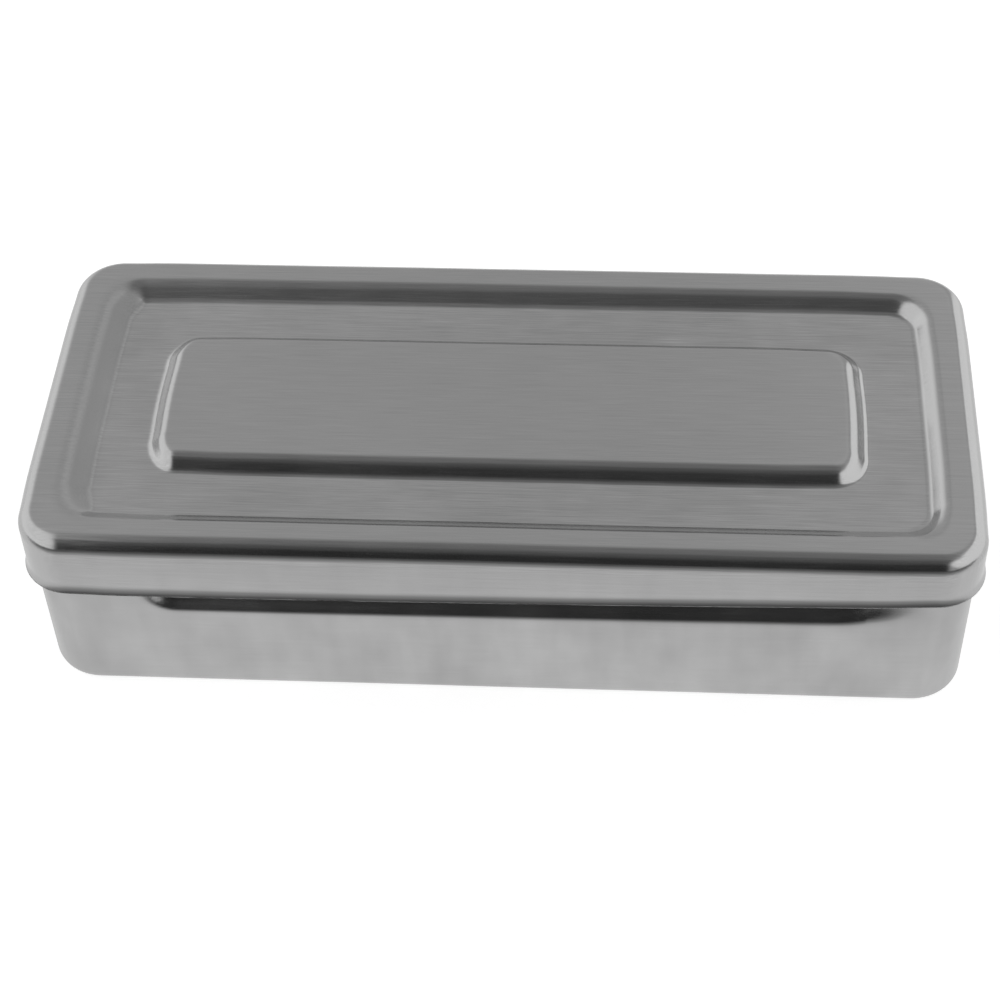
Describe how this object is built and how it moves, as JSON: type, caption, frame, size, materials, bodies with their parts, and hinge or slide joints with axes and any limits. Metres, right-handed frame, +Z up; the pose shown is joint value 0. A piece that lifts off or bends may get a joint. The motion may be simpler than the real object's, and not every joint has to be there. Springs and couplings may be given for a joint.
{
  "type": "instrument sterilization container",
  "caption": "Long shallow drawn steel box for sterilizing and storing surgical instruments, with a lift-off lid that has a pressed channel round a raised middle.",
  "frame": {"origin": "middle of the flat bottom that the tray rests on", "axes": "+X along the long side, +Y from the front long side to the back one, +Z up, the way the lid lifts off"},
  "size_m": [0.183, 0.0816, 0.0425],
  "materials": {
    "satin_steel": "drawn stainless sheet, fine satin brushing along the long side",
    "brushed_steel": "drawn stainless sheet, brushed along the long side, polished at the edges"
  },
  "bodies": {
    "tray": {"tray": "satin_steel"},
    "lid": {"lid": "brushed_steel"}
  },
  "joints": [
    {"name": "lid_lift", "type": "slide", "parent": "tray", "child": "lid", "axis": [0, 0, 1], "range_m": [0, 0.06]}
  ]
}
